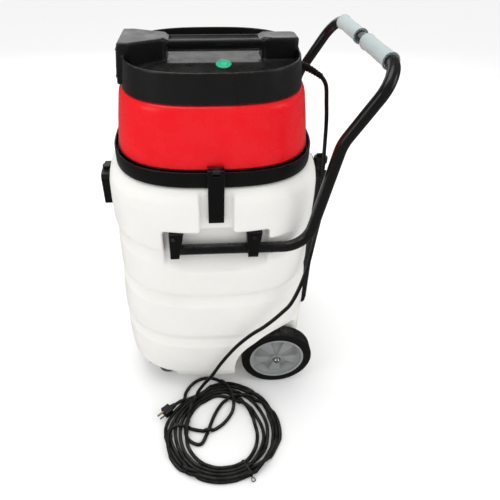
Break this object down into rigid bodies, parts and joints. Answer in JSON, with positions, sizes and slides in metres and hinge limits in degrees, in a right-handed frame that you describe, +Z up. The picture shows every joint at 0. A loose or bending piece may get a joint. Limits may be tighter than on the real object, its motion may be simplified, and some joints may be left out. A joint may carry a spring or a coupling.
{
  "type": "wet and dry vacuum cleaner",
  "caption": "Upright wet and dry vacuum cleaner: white moulded tank, red lift-off motor head, push handle, rear wheels, front casters, drain hose and power cord.",
  "frame": {"origin": "on the floor under the middle of the tank", "axes": "+Z up; +Y towards the push handle and the rear wheels, -Y towards the hose inlet and the casters; +X to the side where the cord lies"},
  "size_m": [0.759, 0.6371, 0.9448],
  "materials": {
    "white_poly": "satin moulded polyethylene",
    "black_plastic": "satin",
    "red_plastic": "gloss moulded",
    "black_tube": "satin powder coat",
    "grip_foam": "closed-cell foam",
    "grey_plastic": "satin",
    "tyre_rubber": "solid rubber",
    "zinc_steel": "zinc plated",
    "spring_steel": "bright",
    "chrome": "bright",
    "caster_grey": "satin",
    "hose_black": "ribbed",
    "cord_black": "satin PVC",
    "brass": "bright",
    "seal_rubber": "matt",
    "switch_red": "gloss",
    "lamp_green": "translucent lens",
    "motor_plastic": "satin",
    "motor_metal": "as pressed",
    "filter_cloth": "pleated cloth",
    "foam_grey": "open-cell foam"
  },
  "bodies": {
    "tank": {"tank": "white_poly", "inlet_housing": "black_plastic", "inlet_gasket": "seal_rubber", "inlet_deflector": "black_plastic", "inlet_spring": "spring_steel", "tank_screws": "black_tube", "latch_catches": "black_plastic", "handle_tube": "black_tube", "tube_plugs": "black_plastic", "foam_grips": "grip_foam", "handle_clips": "black_plastic", "rear_axle": "zinc_steel", "axle_washers": "zinc_steel", "push_nuts": "chrome", "caster_plates": "zinc_steel", "drain_elbow": "black_plastic", "drain_hose": "hose_black", "hose_hook": "black_plastic", "power_cord": "cord_black", "cord_tie": "cord_black", "plug_body": "cord_black", "plug_prongs": "brass"},
    "release_button": {"inlet_button": "black_plastic"},
    "wheel_near": {"hub_near": "grey_plastic", "tyre_near": "tyre_rubber"},
    "wheel_far": {"hub_far": "grey_plastic", "tyre_far": "tyre_rubber"},
    "swivel_near": {"caster_fork_near": "zinc_steel", "caster_pin_near": "zinc_steel"},
    "swivel_far": {"caster_fork_far": "zinc_steel", "caster_pin_far": "zinc_steel"},
    "roller_near": {"caster_wheel_near": "caster_grey"},
    "roller_far": {"caster_wheel_far": "caster_grey"},
    "hose_cap": {"drain_cap": "black_plastic"},
    "head": {"head_ring": "black_plastic", "head_seal": "seal_rubber", "drum": "red_plastic", "cap": "black_plastic", "head_screws": "zinc_steel", "latch_bases": "black_plastic", "latch_pins": "zinc_steel", "switch_panel": "black_plastic", "pilot_lamp": "lamp_green", "cord_boot": "cord_black", "motor_plate": "motor_plastic", "motor_gaskets": "seal_rubber", "vac_motor_front": "motor_metal", "vac_motor_rear": "motor_metal", "float_cage": "black_plastic", "filter_cartridge": "filter_cloth", "filter_retainer": "black_plastic", "acoustic_foam": "foam_grey"},
    "strap_near": {"latch_near": "black_plastic"},
    "strap_far": {"latch_far": "black_plastic"},
    "rocker_1": {"switch_1": "switch_red"},
    "rocker_2": {"switch_2": "switch_red"},
    "fan_front": {"impeller_front": "motor_metal"},
    "fan_rear": {"impeller_rear": "motor_metal"},
    "float": {"float_ball": "white_poly"}
  },
  "joints": [
    {"name": "head_lift", "type": "slide", "parent": "tank", "child": "head", "axis": [0, 0, 1], "range_m": [0, 0.25]},
    {"name": "latch_near_swing", "type": "hinge", "parent": "head", "child": "strap_near", "pos_m": [0.2376, 0, 0.7316], "axis": [0, -1, 0], "range_deg": [0, 110]},
    {"name": "latch_far_swing", "type": "hinge", "parent": "head", "child": "strap_far", "pos_m": [-0.2376, 0, 0.7316], "axis": [0, 1, 0], "range_deg": [0, 110]},
    {"name": "inlet_release", "type": "slide", "parent": "tank", "child": "release_button", "axis": [0, 0, 1], "range_m": [-0.003, 0], "stiffness_N_per_m": 300, "springref_m": 0.003, "deforming": ["inlet_spring"]},
    {"name": "wheel_near_spin", "type": "hinge", "parent": "tank", "child": "wheel_near", "pos_m": [0.19, 0.1735, 0.1015], "axis": [1, 0, 0], "continuous": true},
    {"name": "wheel_far_spin", "type": "hinge", "parent": "tank", "child": "wheel_far", "pos_m": [-0.19, 0.1735, 0.1015], "axis": [1, 0, 0], "continuous": true},
    {"name": "caster_near_swivel", "type": "hinge", "parent": "tank", "child": "swivel_near", "pos_m": [0.15, -0.168, 0.06], "axis": [0, 0, 1], "continuous": true},
    {"name": "caster_far_swivel", "type": "hinge", "parent": "tank", "child": "swivel_far", "pos_m": [-0.15, -0.168, 0.06], "axis": [0, 0, 1], "continuous": true},
    {"name": "caster_near_roll", "type": "hinge", "parent": "swivel_near", "child": "roller_near", "pos_m": [0.15, -0.148, 0.025], "axis": [1, 0, 0], "continuous": true},
    {"name": "caster_far_roll", "type": "hinge", "parent": "swivel_far", "child": "roller_far", "pos_m": [-0.15, -0.148, 0.025], "axis": [1, 0, 0], "continuous": true},
    {"name": "hose_cap_pull", "type": "slide", "parent": "tank", "child": "hose_cap", "axis": [0, 0, 1], "range_m": [0, 0.03]},
    {"name": "switch_1_tilt", "type": "hinge", "parent": "head", "child": "rocker_1", "pos_m": [-0.024, -0.19866, 0.89777], "axis": [1, 0, 0], "range_deg": [0, 16]},
    {"name": "switch_2_tilt", "type": "hinge", "parent": "head", "child": "rocker_2", "pos_m": [0.024, -0.19866, 0.89777], "axis": [1, 0, 0], "range_deg": [0, 16]},
    {"name": "fan_front_spin", "type": "hinge", "parent": "head", "child": "fan_front", "pos_m": [0, -0.092, 0.75], "axis": [0, 0, 1], "continuous": true},
    {"name": "fan_rear_spin", "type": "hinge", "parent": "head", "child": "fan_rear", "pos_m": [0, 0.092, 0.75], "axis": [0, 0, 1], "continuous": true},
    {"name": "float_rise", "type": "slide", "parent": "head", "child": "float", "axis": [0, 0, 1], "range_m": [0, 0.028]}
  ]
}
